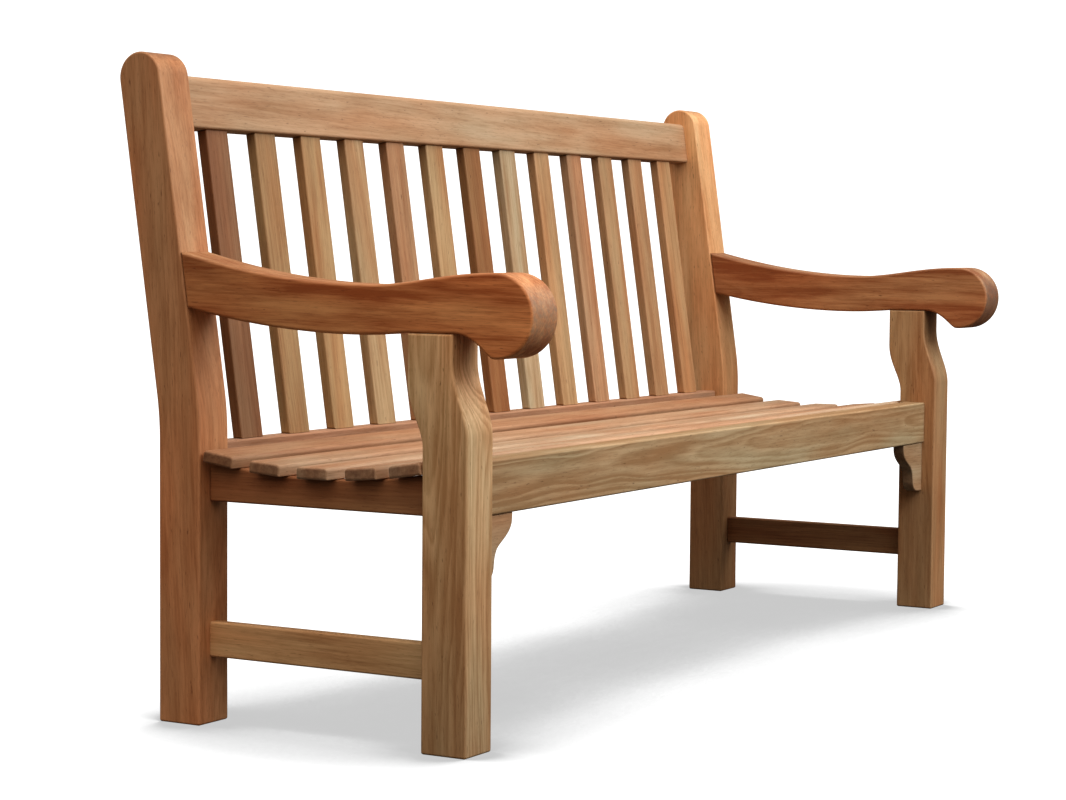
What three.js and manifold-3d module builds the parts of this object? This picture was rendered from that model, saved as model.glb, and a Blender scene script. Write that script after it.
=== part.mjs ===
// A three-seat garden bench in solid teak, with scrolled arms, thirteen upright back slats and a
// dished seat. Each piece of timber is a mesh of its own, and mortises and tenons join the frame.
//
// Units are millimetres. X runs along the bench, Y from front to back and Z up. While the pieces are
// drawn, Y = 0 is the front face of the front legs and Z = 0 is the ground. A side is -1 for the left
// end and 1 for the right end, as the bench is seen from the front.

import * as THREE from 'three';
import { mergeVertices } from 'three/addons/utils/BufferGeometryUtils.js';
import Module from 'manifold-3d';

const wasm = await Module();
wasm.setup();

// The whole bench.
const LENGTH = 1800;
const REACH = 530; // front face of the front legs to rear face of the back legs, at the ground
const GAP = 0.3; // between two mating faces
const EASE = 3; // chamfer on an eased edge
const CURVE_STEPS = 14; // straight stretches that stand for one curve

// Legs and posts.
const LEG_WIDTH = 70;
const FRONT_LEG_DEPTH = 73;
const BACK_LEG_DEPTH = 74;
const LEG_X = (LENGTH - LEG_WIDTH) / 2;
const INNER_X = LENGTH / 2 - LEG_WIDTH; // face of a leg that looks into the bench
const NECK_SHIFT = 25; // how far the front post steps back between the seat and the arm
const BACK_FACE = REACH - BACK_LEG_DEPTH; // front face of the back legs
const RAKE = THREE.MathUtils.degToRad(8.4);
const BEND_Z = 455; // where the front face of a back post starts to lean
const BEND_BLEND = 35; // length of the rounded stretch on each side of the bend
const POST_HEIGHT = 982;
// Heights of the S on each face of a front post: where it starts, its two control points, its end.
const FRONT_FACE_S = [440, 475, 505, 545];
const REAR_FACE_S = [425, 452, 478, 515];

// Rails of the back.
const BACK_RAIL_THICKNESS = 32;
const TOP_RAIL_HEIGHT = 79;
const TOP_RAIL_SETBACK = 25; // from the front face of the posts
const TOP_RAIL_UP = 508; // top edge of the rail, measured up the lean from the bend
const TOP_RAIL_EASE = 6;
const LOWER_RAIL_HEIGHT = 80;
const LOWER_RAIL_SETBACK = 19;
const LOWER_RAIL_TOP = 411;

// Back slats.
const BACK_SLAT_COUNT = 13;
const SLAT_WIDTH = 54;
const SLAT_THICKNESS = 18;
const SLAT_EASE = 2.5;

// Seat.
const SEAT_SLAT_LENGTH = LENGTH - 2;
const SEAT_LOW_Z = 389; // lowest point of the dished seat surface
const SEAT_LOW_Y = 265;
const SEAT_RADIUS = 1065; // of the dish
const SEAT_FIT = 0.85; // from the curve under the slats down to the top of the rails
const REAR_SLAT_Y = BACK_FACE - 33;
const SEAT_PITCH = 82; // between the rear four seat slats
const FRONT_SLAT_Y = FRONT_LEG_DEPTH + 31;
const FRONT_RAIL_SETBACK = 21;
const FRONT_RAIL_THICKNESS = 40;
const FRONT_RAIL_TOP = 404;
const FRONT_RAIL_HEIGHT = 78;
const SIDE_RAIL_X = 861;
const SIDE_RAIL_THICKNESS = 30;
const SIDE_RAIL_BOTTOM = 328;
const BEARER_X = 290;
const BEARER_BOTTOM = 342;

// Arms.
const ARM_SEAT_Z = 583; // underside of the arm where it sits on the front post
const ARM_REAR_TOP = 691;
const ARM_REAR_BOTTOM = 610;
const ARM_LOW_Y = 165; // lowest point of the armrest surface
const ARM_LOW_Z = 648.5;
const SCROLL_RADIUS = 58.5;
const SCROLL_Y = -43.5;
const SCROLL_Z = 608.5;
const SCROLL_END = THREE.MathUtils.degToRad(275); // the scroll's arc ends just past its lowest point
const ARM_SEAT_LAP = 1; // how far the flat on the front post runs on before and behind it
// Control points (y, z) of the arm's curves that don't lie level with a curve's end.
const ARM_REAR_CONTROL = [410, 671];
const THROAT_CONTROL = [-28.5, 551];
const BELLY_CONTROLS = [[190, 571], [350, 581]];
// And the y of those that do.
const ARM_DIP_CONTROL_Y = 300;
const ARM_RISE_CONTROL_Y = [95, 40];
const THROAT_END_CONTROL_Y = -9.5;

// Stretchers and brackets.
const STRETCHER_THICKNESS = 20;
const STRETCHER_HEIGHT = 52;
const STRETCHER_BOTTOM = 99;
const BRACKET_WIDTH = 95;
const BRACKET_HEIGHT = 94;
const BRACKET_THICKNESS = 22;
const BRACKET_SETBACK = 3.5; // from the front face of the rail
const BRACKET_EASE = 2;
const BRACKET_FOOT = 0.15; // width of the flat foot
// The bracket's edge from its foot up to the rail, as parts of its width and height away from the
// corner. Each curve has two control points and an end.
const BRACKET_CURVES = [
  [0.34, 1, 0.455, 0.93, 0.47, 0.77],
  [0.485, 0.66, 0.5, 0.565, 0.6, 0.485],
  [0.74, 0.39, 0.965, 0.3, 0.99, 0.12],
];

// Joints.
const TENON_THICKNESS = 12;
const RAIL_TENON = 28; // length of a tenon on a long rail
const RAIL_TENON_HEIGHT = 54;
const SIDE_TENON = 20; // length of a tenon on a side rail or a stretcher
const SIDE_TENON_HEIGHT = 32;
const SIDE_TENON_UP = 28; // from the bottom of a side rail to the middle of its tenon
const ARM_TENON_WIDTH = 30;
const ARM_TENON_LENGTH = 28;
const ARM_TENON_HEIGHT = 48; // the one into the back post
const POST_TENON_DEPTH = 40; // the one from the front post up into the arm
const SLAT_TENON_WIDTH = 42;
const SLAT_TENON_THICKNESS = 10;
const SLAT_TENON_LENGTH = 15;
const BEARER_TENON = 12;
const BEARER_TENON_HEIGHT = 26;
const BEARER_TENON_UP = 22;
const ROOT = 5; // how far a tenon's block runs back into its own timber
const PEG_RADIUS = 5;
const PEG_SIDES = 12;
const PEG_LENGTH = 44;
const PEG_INSET = 15; // from the inner face of the post

// Seat screws, driven up through the rails and bearers.
const SCREW_BELOW_SLAT = 28;
const SCREW_IN_SLAT = 12;
const SCREW_RADIUS = 2.2;
const SCREW_HEAD_RADIUS = 4.5;
const SCREW_HEAD_HEIGHT = 3;
const SCREW_SIDES = 10;

// ---------------------------------------------------------------------------------------------
// Geometry helpers

function solidOf(geometry) {
  const plain = geometry.clone();
  plain.deleteAttribute('normal');
  plain.deleteAttribute('uv');
  const merged = mergeVertices(plain, 1e-4);
  return new wasm.Manifold(new wasm.Mesh({
    numProp: 3,
    vertProperties: Float32Array.from(merged.attributes.position.array),
    triVerts: Uint32Array.from(merged.index.array),
  }));
}

function geometryOf(solid) {
  const mesh = solid.getMesh();
  const geometry = new THREE.BufferGeometry();
  geometry.setAttribute('position', new THREE.BufferAttribute(mesh.vertProperties, 3));
  geometry.setIndex(new THREE.BufferAttribute(mesh.triVerts, 1));
  geometry.computeVertexNormals();
  return geometry;
}

// A piece of timber with its tenons joined on and its mortises and holes cut out.
function worked(geometry, tenons, mortises) {
  let solid = solidOf(geometry);
  for (const tenon of tenons) {
    solid = solid.add(solidOf(tenon));
  }
  for (const mortise of mortises) {
    solid = solid.subtract(solidOf(mortise));
  }
  return geometryOf(solid);
}

// Extrudes a (y, z) outline along X about x = 0, with the edges of both end faces eased.
function alongX(outline, width, ease = EASE) {
  const geometry = extrude(outline, width, ease);
  geometry.applyMatrix4(new THREE.Matrix4().makeBasis(
    new THREE.Vector3(0, 1, 0),
    new THREE.Vector3(0, 0, 1),
    new THREE.Vector3(1, 0, 0),
  ));
  return geometry;
}

// Extrudes an (x, z) outline along Y about y = 0.
function alongY(outline, width, ease = EASE) {
  const geometry = extrude(outline, width, ease);
  geometry.rotateX(Math.PI / 2);
  return geometry;
}

function extrude(outline, width, ease) {
  const geometry = new THREE.ExtrudeGeometry(outline, {
    depth: width - 2 * ease,
    bevelEnabled: ease > 0,
    bevelThickness: ease,
    bevelSize: ease,
    bevelOffset: -ease,
    bevelSegments: 1,
    curveSegments: CURVE_STEPS,
  });
  geometry.translate(0, 0, ease - width / 2);
  return geometry;
}

// A rectangle about the origin with its four corners cut off.
function easedRectangle(width, height, ease) {
  const w = width / 2;
  const h = height / 2;
  return new THREE.Shape([
    new THREE.Vector2(-w + ease, -h),
    new THREE.Vector2(w - ease, -h),
    new THREE.Vector2(w, -h + ease),
    new THREE.Vector2(w, h - ease),
    new THREE.Vector2(w - ease, h),
    new THREE.Vector2(-w + ease, h),
    new THREE.Vector2(-w, h - ease),
    new THREE.Vector2(-w, -h + ease),
  ]);
}

// A block for a tenon. Grown by the gap on every side, it cuts the mortise that takes that tenon.
function block([sizeX, sizeY, sizeZ], [x, y, z], growth = 0, tilt = 0) {
  const geometry = new THREE.BoxGeometry(sizeX + 2 * growth, sizeY + 2 * growth, sizeZ + 2 * growth);
  geometry.rotateX(tilt);
  geometry.translate(x, y, z);
  return geometry;
}

// A block that crosses the joint between x = from and x = to, whichever way round they are.
function blockAcross(from, to, sizeY, sizeZ, y, z, growth, tilt = 0) {
  return block([Math.abs(to - from), sizeY, sizeZ], [(from + to) / 2, y, z], growth, tilt);
}

// The (y, z) point so far up the leaning face of the back posts and set back square from it.
function onBack(up, setback) {
  return new THREE.Vector2(
    BACK_FACE + up * Math.sin(RAKE) + setback * Math.cos(RAKE),
    BEND_Z + up * Math.cos(RAKE) - setback * Math.sin(RAKE),
  );
}

// Height and slope of the dished seat surface at y.
function seatHeight(y) {
  return SEAT_LOW_Z + (y - SEAT_LOW_Y) ** 2 / (2 * SEAT_RADIUS);
}

function seatSlope(y) {
  return (y - SEAT_LOW_Y) / SEAT_RADIUS;
}

// ---------------------------------------------------------------------------------------------
// Tenons, as blocks in place. With growth = GAP the same block is the mortise.

const LOWER_RAIL_Y = BACK_FACE + LOWER_RAIL_SETBACK + BACK_RAIL_THICKNESS / 2;
const LOWER_RAIL_Z = LOWER_RAIL_TOP - LOWER_RAIL_HEIGHT / 2;
const TOP_RAIL_CENTRE = onBack(
  TOP_RAIL_UP - TOP_RAIL_HEIGHT / 2,
  TOP_RAIL_SETBACK + BACK_RAIL_THICKNESS / 2,
);
const FRONT_RAIL_Y = FRONT_RAIL_SETBACK + FRONT_RAIL_THICKNESS / 2;
const FRONT_RAIL_Z = FRONT_RAIL_TOP - FRONT_RAIL_HEIGHT / 2;
const SIDE_TENON_Z = SIDE_RAIL_BOTTOM + SIDE_TENON_UP;
const STRETCHER_Z = STRETCHER_BOTTOM + STRETCHER_HEIGHT / 2;
const BEARER_TENON_Z = BEARER_BOTTOM + BEARER_TENON_UP;
const ENDS = [-1, 1];

function railTenon(side, y, z, growth, tilt = 0) {
  const from = side * (INNER_X - ROOT);
  const to = side * (INNER_X + RAIL_TENON);
  return blockAcross(from, to, TENON_THICKNESS, RAIL_TENON_HEIGHT, y, z, growth, tilt);
}

const topRailTenon = (side, growth = 0) =>
  railTenon(side, TOP_RAIL_CENTRE.x, TOP_RAIL_CENTRE.y, growth, -RAKE);
const lowerRailTenon = (side, growth = 0) => railTenon(side, LOWER_RAIL_Y, LOWER_RAIL_Z, growth);
const frontRailTenon = (side, growth = 0) => railTenon(side, FRONT_RAIL_Y, FRONT_RAIL_Z, growth);

// Tenon on a piece that runs front to back. The shoulder is at y, and outward is -1 at its front end.
function crossTenon(x, y, z, outward, [thickness, length, height], growth) {
  const centre = y + outward * (length - ROOT) / 2;
  return block([thickness, length + ROOT, height], [x, centre, z], growth);
}

const SIDE_TENON_SIZE = [TENON_THICKNESS, SIDE_TENON, SIDE_TENON_HEIGHT];
const STRETCHER_TENON_SIZE = [STRETCHER_THICKNESS / 2, SIDE_TENON, SIDE_TENON_HEIGHT];
const BEARER_TENON_SIZE = [TENON_THICKNESS, BEARER_TENON, BEARER_TENON_HEIGHT];

const sideRailTenons = (side, growth = 0) => [
  crossTenon(side * SIDE_RAIL_X, FRONT_LEG_DEPTH, SIDE_TENON_Z, -1, SIDE_TENON_SIZE, growth),
  crossTenon(side * SIDE_RAIL_X, BACK_FACE, SIDE_TENON_Z, 1, SIDE_TENON_SIZE, growth),
];
const stretcherTenons = (side, growth = 0) => [
  crossTenon(side * LEG_X, FRONT_LEG_DEPTH, STRETCHER_Z, -1, STRETCHER_TENON_SIZE, growth),
  crossTenon(side * LEG_X, BACK_FACE, STRETCHER_Z, 1, STRETCHER_TENON_SIZE, growth),
];
const BEARER_FRONT = FRONT_RAIL_SETBACK + FRONT_RAIL_THICKNESS;
const BEARER_REAR = BACK_FACE + LOWER_RAIL_SETBACK;
const bearerTenons = (side, growth = 0) => [
  crossTenon(side * BEARER_X, BEARER_FRONT, BEARER_TENON_Z, -1, BEARER_TENON_SIZE, growth),
  crossTenon(side * BEARER_X, BEARER_REAR, BEARER_TENON_Z, 1, BEARER_TENON_SIZE, growth),
];

// The arm sits over a tenon on the front post and has one of its own into the back post.
function frontPostTenon(side, growth = 0) {
  const height = ARM_TENON_LENGTH + ROOT;
  const y = NECK_SHIFT + FRONT_LEG_DEPTH / 2;
  const z = ARM_SEAT_Z + ARM_TENON_LENGTH - height / 2;
  return block([ARM_TENON_WIDTH, POST_TENON_DEPTH, height], [side * LEG_X, y, z], growth);
}

function armTenon(side, growth = 0) {
  const up = ((ARM_REAR_TOP + ARM_REAR_BOTTOM) / 2 - BEND_Z) / Math.cos(RAKE);
  const centre = onBack(up, (ARM_TENON_LENGTH - ROOT) / 2);
  const size = [ARM_TENON_WIDTH, ARM_TENON_LENGTH + ROOT, ARM_TENON_HEIGHT];
  return block(size, [side * LEG_X, centre.x, centre.y], growth, -RAKE);
}

// Back slats lean with the posts and are centred in the thickness of the top rail.
const SLAT_SETBACK = TOP_RAIL_SETBACK + (BACK_RAIL_THICKNESS - SLAT_THICKNESS) / 2;
const SLAT_TOP_UP = TOP_RAIL_UP - TOP_RAIL_HEIGHT - GAP;
const SLAT_FOOT_Z = LOWER_RAIL_TOP + GAP;
const SLAT_PITCH = (2 * INNER_X + SLAT_WIDTH) / (BACK_SLAT_COUNT + 1);

const backSlatX = index => (index - (BACK_SLAT_COUNT - 1) / 2) * SLAT_PITCH;

// How far up the lean a height lies, along a line set back from the face of the posts.
function upAtHeight(z, setback) {
  return (z - BEND_Z + setback * Math.sin(RAKE)) / Math.cos(RAKE);
}

function slatTenons(x, growth = 0) {
  const middle = SLAT_SETBACK + SLAT_THICKNESS / 2;
  const size = [SLAT_TENON_WIDTH, SLAT_TENON_THICKNESS, SLAT_TENON_LENGTH + ROOT];
  const reach = (SLAT_TENON_LENGTH - ROOT) / 2;
  const foot = onBack(upAtHeight(SLAT_FOOT_Z, middle) - reach, middle);
  const head = onBack(SLAT_TOP_UP + reach, middle);
  return [foot, head].map(centre => block(size, [x, centre.x, centre.y], growth, -RAKE));
}

// ---------------------------------------------------------------------------------------------
// Seat slats and their screws

const SEAT_SLAT_Y = [
  REAR_SLAT_Y,
  REAR_SLAT_Y - SEAT_PITCH,
  REAR_SLAT_Y - 2 * SEAT_PITCH,
  REAR_SLAT_Y - 3 * SEAT_PITCH,
  FRONT_SLAT_Y,
];
const SCREW_X = [-SIDE_RAIL_X, -BEARER_X, BEARER_X, SIDE_RAIL_X];
const SCREW_LENGTH = SCREW_BELOW_SLAT + SCREW_IN_SLAT;

// Puts a shape drawn about a seat slat's own centre where that slat lies.
function slatMatrix(y) {
  const tilt = Math.atan(seatSlope(y));
  const drop = SLAT_THICKNESS / 2;
  const position = new THREE.Vector3(
    0,
    y + drop * Math.sin(tilt),
    seatHeight(y) - drop * Math.cos(tilt),
  );
  const turn = new THREE.Quaternion().setFromAxisAngle(new THREE.Vector3(1, 0, 0), tilt);
  return new THREE.Matrix4().compose(position, turn, new THREE.Vector3(1, 1, 1));
}

// A screw, or with growth the hole for it, drawn in its slat's own frame. A hole also runs on below
// the head by the given depth.
function screwShape(growth = 0, below = 0) {
  const underHead = -SLAT_THICKNESS / 2 - SCREW_BELOW_SLAT;
  const foot = underHead - SCREW_HEAD_HEIGHT - below;
  const tip = underHead + SCREW_LENGTH + growth;
  const shank = SCREW_RADIUS + growth;
  const head = SCREW_HEAD_RADIUS + growth;
  const outline = [
    new THREE.Vector2(0, foot),
    new THREE.Vector2(head, foot),
    new THREE.Vector2(head, underHead + growth),
    new THREE.Vector2(shank, underHead + growth),
    new THREE.Vector2(shank, tip),
    new THREE.Vector2(0, tip),
  ];
  return new THREE.LatheGeometry(outline, SCREW_SIDES).rotateX(Math.PI / 2);
}

// The screw holes that a rail or bearer at x needs, in bench coordinates.
function screwHolesAt(x) {
  return SEAT_SLAT_Y.map(y =>
    screwShape(GAP, SIDE_RAIL_BOTTOM).translate(x, 0, 0).applyMatrix4(slatMatrix(y)));
}

function seatSlat() {
  const shape = easedRectangle(SLAT_WIDTH, SLAT_THICKNESS, SLAT_EASE);
  const holes = SCREW_X.map(x => screwShape(GAP).translate(x, 0, 0));
  return worked(alongX(shape, SEAT_SLAT_LENGTH, SLAT_EASE), [], holes);
}

// ---------------------------------------------------------------------------------------------
// Posts

function backPostOutline() {
  const radius = BACK_LEG_DEPTH / 2;
  const straight = (POST_HEIGHT - radius - BEND_Z + radius * Math.sin(RAKE)) / Math.cos(RAKE);
  const crown = onBack(straight, radius);
  const rearBendUp = BACK_LEG_DEPTH * Math.tan(RAKE / 2);
  const rearBend = onBack(rearBendUp, BACK_LEG_DEPTH);
  const rearAbove = onBack(rearBendUp + BEND_BLEND, BACK_LEG_DEPTH);
  const frontAbove = onBack(BEND_BLEND, 0);
  const outline = new THREE.Shape();
  outline.moveTo(BACK_FACE, 0);
  outline.lineTo(REACH, 0);
  outline.lineTo(REACH, rearBend.y - BEND_BLEND);
  outline.quadraticCurveTo(rearBend.x, rearBend.y, rearAbove.x, rearAbove.y);
  outline.absarc(crown.x, crown.y, radius, -RAKE, Math.PI - RAKE, false);
  outline.lineTo(frontAbove.x, frontAbove.y);
  outline.quadraticCurveTo(BACK_FACE, BEND_Z, BACK_FACE, BEND_Z - BEND_BLEND);
  outline.closePath();
  return outline;
}

// The pegs that lock the tenons of the two back rails, square to the rear face of the post.
function pegPlaces(side) {
  const x = side * (INNER_X + PEG_INSET);
  const inPost = BACK_LEG_DEPTH - PEG_LENGTH / 2;
  const upper = onBack(TOP_RAIL_UP - TOP_RAIL_HEIGHT / 2, inPost);
  return [
    { name: 'top', position: [x, upper.x, upper.y], tilt: -RAKE },
    { name: 'lower', position: [x, BACK_FACE + inPost, LOWER_RAIL_Z], tilt: 0 },
  ];
}

function pegShape(growth = 0) {
  const radius = PEG_RADIUS + growth;
  return new THREE.CylinderGeometry(radius, radius, PEG_LENGTH + 2 * growth, PEG_SIDES);
}

function pegHoles(side) {
  return pegPlaces(side).map(({ position, tilt }) =>
    pegShape(GAP).rotateX(tilt).translate(...position));
}

function backPost(side) {
  const timber = alongX(backPostOutline(), LEG_WIDTH).translate(side * LEG_X, 0, 0);
  return worked(timber, [], [
    topRailTenon(side, GAP),
    lowerRailTenon(side, GAP),
    armTenon(side, GAP),
    sideRailTenons(side, GAP)[1],
    stretcherTenons(side, GAP)[1],
    ...pegHoles(side),
  ]);
}

// Straight to just above the seat, then an S that steps the post back to its neck under the arm.
function frontPost(side) {
  const top = ARM_SEAT_Z - GAP;
  const rear = FRONT_LEG_DEPTH;
  const neckRear = rear + NECK_SHIFT;
  const [rearStart, rearLow, rearHigh, rearEnd] = REAR_FACE_S;
  const [frontStart, frontLow, frontHigh, frontEnd] = FRONT_FACE_S;
  const outline = new THREE.Shape();
  outline.moveTo(0, 0);
  outline.lineTo(rear, 0);
  outline.lineTo(rear, rearStart);
  outline.bezierCurveTo(rear, rearLow, neckRear, rearHigh, neckRear, rearEnd);
  outline.lineTo(neckRear, top);
  outline.lineTo(NECK_SHIFT, top);
  outline.lineTo(NECK_SHIFT, frontEnd);
  outline.bezierCurveTo(NECK_SHIFT, frontHigh, 0, frontLow, 0, frontStart);
  outline.closePath();
  const timber = alongX(outline, LEG_WIDTH).translate(side * LEG_X, 0, 0);
  return worked(timber, [frontPostTenon(side)], [
    frontRailTenon(side, GAP),
    sideRailTenons(side, GAP)[0],
    stretcherTenons(side, GAP)[0],
  ]);
}

// ---------------------------------------------------------------------------------------------
// Arms

function armOutline() {
  const rearTop = onBack(upAtHeight(ARM_REAR_TOP, -GAP), -GAP);
  const rearBottom = onBack(upAtHeight(ARM_REAR_BOTTOM, -GAP), -GAP);
  const scrollTop = SCROLL_Z + SCROLL_RADIUS;
  const [riseLow, riseHigh] = ARM_RISE_CONTROL_Y;
  const seatFront = NECK_SHIFT - ARM_SEAT_LAP;
  const seatRear = NECK_SHIFT + FRONT_LEG_DEPTH + ARM_SEAT_LAP;
  const outline = new THREE.Shape();
  outline.moveTo(rearTop.x, rearTop.y);
  outline.bezierCurveTo(...ARM_REAR_CONTROL, ARM_DIP_CONTROL_Y, ARM_LOW_Z, ARM_LOW_Y, ARM_LOW_Z);
  outline.bezierCurveTo(riseLow, ARM_LOW_Z, riseHigh, scrollTop, SCROLL_Y, scrollTop);
  outline.absarc(SCROLL_Y, SCROLL_Z, SCROLL_RADIUS, Math.PI / 2, SCROLL_END, false);
  outline.bezierCurveTo(
    ...THROAT_CONTROL,
    THROAT_END_CONTROL_Y,
    ARM_SEAT_Z,
    seatFront,
    ARM_SEAT_Z,
  );
  outline.lineTo(seatRear, ARM_SEAT_Z);
  outline.bezierCurveTo(...BELLY_CONTROLS[0], ...BELLY_CONTROLS[1], rearBottom.x, rearBottom.y);
  outline.closePath();
  return outline;
}

function arm(side) {
  const timber = alongX(armOutline(), LEG_WIDTH).translate(side * LEG_X, 0, 0);
  return worked(timber, [armTenon(side)], [frontPostTenon(side, GAP)]);
}

// ---------------------------------------------------------------------------------------------
// Rails, slats, stretchers, bearers and brackets

const LONG_RAIL = 2 * (INNER_X - GAP);

function slatMortises(end) {
  return Array.from(
    { length: BACK_SLAT_COUNT },
    (_, index) => slatTenons(backSlatX(index), GAP)[end],
  );
}

function topBackRail() {
  const shape = easedRectangle(BACK_RAIL_THICKNESS, TOP_RAIL_HEIGHT, TOP_RAIL_EASE);
  const timber = alongX(shape, LONG_RAIL, 0);
  timber.rotateX(-RAKE).translate(0, TOP_RAIL_CENTRE.x, TOP_RAIL_CENTRE.y);
  return worked(
    timber,
    ENDS.map(side => topRailTenon(side)),
    [...slatMortises(1), ...ENDS.flatMap(pegHoles)],
  );
}

function lowerBackRail() {
  const shape = easedRectangle(BACK_RAIL_THICKNESS, LOWER_RAIL_HEIGHT, EASE);
  const timber = alongX(shape, LONG_RAIL, 0).translate(0, LOWER_RAIL_Y, LOWER_RAIL_Z);
  return worked(
    timber,
    ENDS.map(side => lowerRailTenon(side)),
    [
      ...slatMortises(0),
      ...ENDS.flatMap(pegHoles),
      ...ENDS.map(side => bearerTenons(side, GAP)[1]),
    ],
  );
}

function frontSeatRail() {
  const shape = easedRectangle(FRONT_RAIL_THICKNESS, FRONT_RAIL_HEIGHT, EASE);
  const timber = alongX(shape, LONG_RAIL, 0).translate(0, FRONT_RAIL_Y, FRONT_RAIL_Z);
  return worked(
    timber,
    ENDS.map(side => frontRailTenon(side)),
    ENDS.map(side => bearerTenons(side, GAP)[0]),
  );
}

// A back slat, drawn about x = 0. Its foot is cut level to stand on the lower rail.
function backSlat() {
  const front = SLAT_SETBACK;
  const rear = SLAT_SETBACK + SLAT_THICKNESS;
  const outline = new THREE.Shape([
    onBack(upAtHeight(SLAT_FOOT_Z, front), front),
    onBack(upAtHeight(SLAT_FOOT_Z, rear), rear),
    onBack(SLAT_TOP_UP, rear),
    onBack(SLAT_TOP_UP, front),
  ]);
  return worked(alongX(outline, SLAT_WIDTH, SLAT_EASE), slatTenons(0), []);
}

// A piece under the seat slats, its top edge cut to the dish of the seat.
function scoopedRail(x, front, rear, bottom, tenons) {
  const from = front + GAP;
  const to = rear - GAP;
  const top = y => seatHeight(y) - SLAT_THICKNESS - SEAT_FIT;
  const middle = (from + to) / 2;
  const outline = new THREE.Shape();
  outline.moveTo(from, bottom);
  outline.lineTo(to, bottom);
  outline.lineTo(to, top(to));
  outline.quadraticCurveTo(middle, top(to) + seatSlope(to) * (middle - to), from, top(from));
  outline.closePath();
  const timber = alongX(outline, SIDE_RAIL_THICKNESS, 0).translate(x, 0, 0);
  return worked(timber, tenons, screwHolesAt(x));
}

function sideSeatRail(side) {
  const tenons = sideRailTenons(side);
  return scoopedRail(side * SIDE_RAIL_X, FRONT_LEG_DEPTH, BACK_FACE, SIDE_RAIL_BOTTOM, tenons);
}

function seatBearer(side) {
  const tenons = bearerTenons(side);
  return scoopedRail(side * BEARER_X, BEARER_FRONT, BEARER_REAR, BEARER_BOTTOM, tenons);
}

function sideStretcher(side) {
  const length = BACK_FACE - FRONT_LEG_DEPTH - 2 * GAP;
  const shape = easedRectangle(STRETCHER_THICKNESS, STRETCHER_HEIGHT, EASE);
  const timber = alongY(shape, length, 0);
  timber.translate(side * LEG_X, (FRONT_LEG_DEPTH + BACK_FACE) / 2, STRETCHER_Z);
  return worked(timber, stretcherTenons(side), []);
}

// A bracket in the corner under the front rail: a swelling curve, a small step in, a rounded foot.
// It is drawn from the corner where the rail meets the left leg, and turned round for the right.
function cornerBracket(side) {
  const w = BRACKET_WIDTH;
  const h = BRACKET_HEIGHT;
  const outline = new THREE.Shape();
  outline.moveTo(0, 0);
  outline.lineTo(0, -h);
  outline.lineTo(BRACKET_FOOT * w, -h);
  for (const [x1, z1, x2, z2, x, z] of BRACKET_CURVES) {
    outline.bezierCurveTo(x1 * w, -z1 * h, x2 * w, -z2 * h, x * w, -z * h);
  }
  outline.lineTo(w, 0);
  outline.closePath();
  const timber = alongY(outline, BRACKET_THICKNESS, BRACKET_EASE);
  if (side > 0) {
    timber.rotateZ(Math.PI);
  }
  const y = FRONT_RAIL_SETBACK + BRACKET_SETBACK + BRACKET_THICKNESS / 2;
  timber.translate(side * (INNER_X - GAP), y, FRONT_RAIL_TOP - FRONT_RAIL_HEIGHT - GAP);
  return worked(timber, [], []);
}

// ---------------------------------------------------------------------------------------------
// Materials and assembly

function timberMaterial(colour) {
  return new THREE.MeshStandardMaterial({ color: colour, roughness: 0.62, metalness: 0 });
}

const MATERIALS = {
  post: timberMaterial(0xb5835a),
  arm: timberMaterial(0xa9744c),
  rail: timberMaterial(0xbd9067),
  backSlat: timberMaterial(0xb47a50),
  seatSlat: timberMaterial(0xc0946e),
  under: timberMaterial(0x9c6a44),
  peg: timberMaterial(0x8f6540),
  screw: new THREE.MeshStandardMaterial({ color: 0xb59a58, roughness: 0.35, metalness: 1 }),
};

function piece(name, geometry, material) {
  const mesh = new THREE.Mesh(geometry, material);
  mesh.name = name;
  return mesh;
}

function endFrame(side, end) {
  const frame = new THREE.Group();
  frame.add(
    piece(`back_post_${end}`, backPost(side), MATERIALS.post),
    piece(`front_post_${end}`, frontPost(side), MATERIALS.post),
    piece(`arm_${end}`, arm(side), MATERIALS.arm),
    piece(`side_seat_rail_${end}`, sideSeatRail(side), MATERIALS.under),
    piece(`side_stretcher_${end}`, sideStretcher(side), MATERIALS.under),
    piece(`corner_bracket_${end}`, cornerBracket(side), MATERIALS.rail),
    piece(`seat_bearer_${end}`, seatBearer(side), MATERIALS.under),
  );
  for (const { name, position, tilt } of pegPlaces(side)) {
    const peg = piece(`rail_peg_${name}_${end}`, pegShape(), MATERIALS.peg);
    peg.position.set(...position);
    peg.rotation.x = tilt;
    frame.add(peg);
  }
  return frame;
}

function back() {
  const group = new THREE.Group();
  group.add(
    piece('top_back_rail', topBackRail(), MATERIALS.rail),
    piece('lower_back_rail', lowerBackRail(), MATERIALS.rail),
  );
  const geometry = backSlat();
  for (let index = 0; index < BACK_SLAT_COUNT; index += 1) {
    const number = String(index + 1).padStart(2, '0');
    const slat = piece(`back_slat_${number}`, geometry, MATERIALS.backSlat);
    slat.position.x = backSlatX(index);
    group.add(slat);
  }
  return group;
}

function seat() {
  const group = new THREE.Group();
  group.add(piece('front_seat_rail', frontSeatRail(), MATERIALS.rail));
  const slatGeometry = seatSlat();
  const screwGeometry = screwShape();
  SEAT_SLAT_Y.forEach((y, row) => {
    const slatGroup = new THREE.Group();
    slatGroup.applyMatrix4(slatMatrix(y));
    slatGroup.add(piece(`seat_slat_${row + 1}`, slatGeometry, MATERIALS.seatSlat));
    SCREW_X.forEach((x, column) => {
      const screw = piece(`seat_screw_${row + 1}_${column + 1}`, screwGeometry, MATERIALS.screw);
      screw.position.x = x;
      slatGroup.add(screw);
    });
    group.add(slatGroup);
  });
  return group;
}

const bench = new THREE.Group();
bench.add(endFrame(-1, 'left'), endFrame(1, 'right'), back(), seat());

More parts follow.
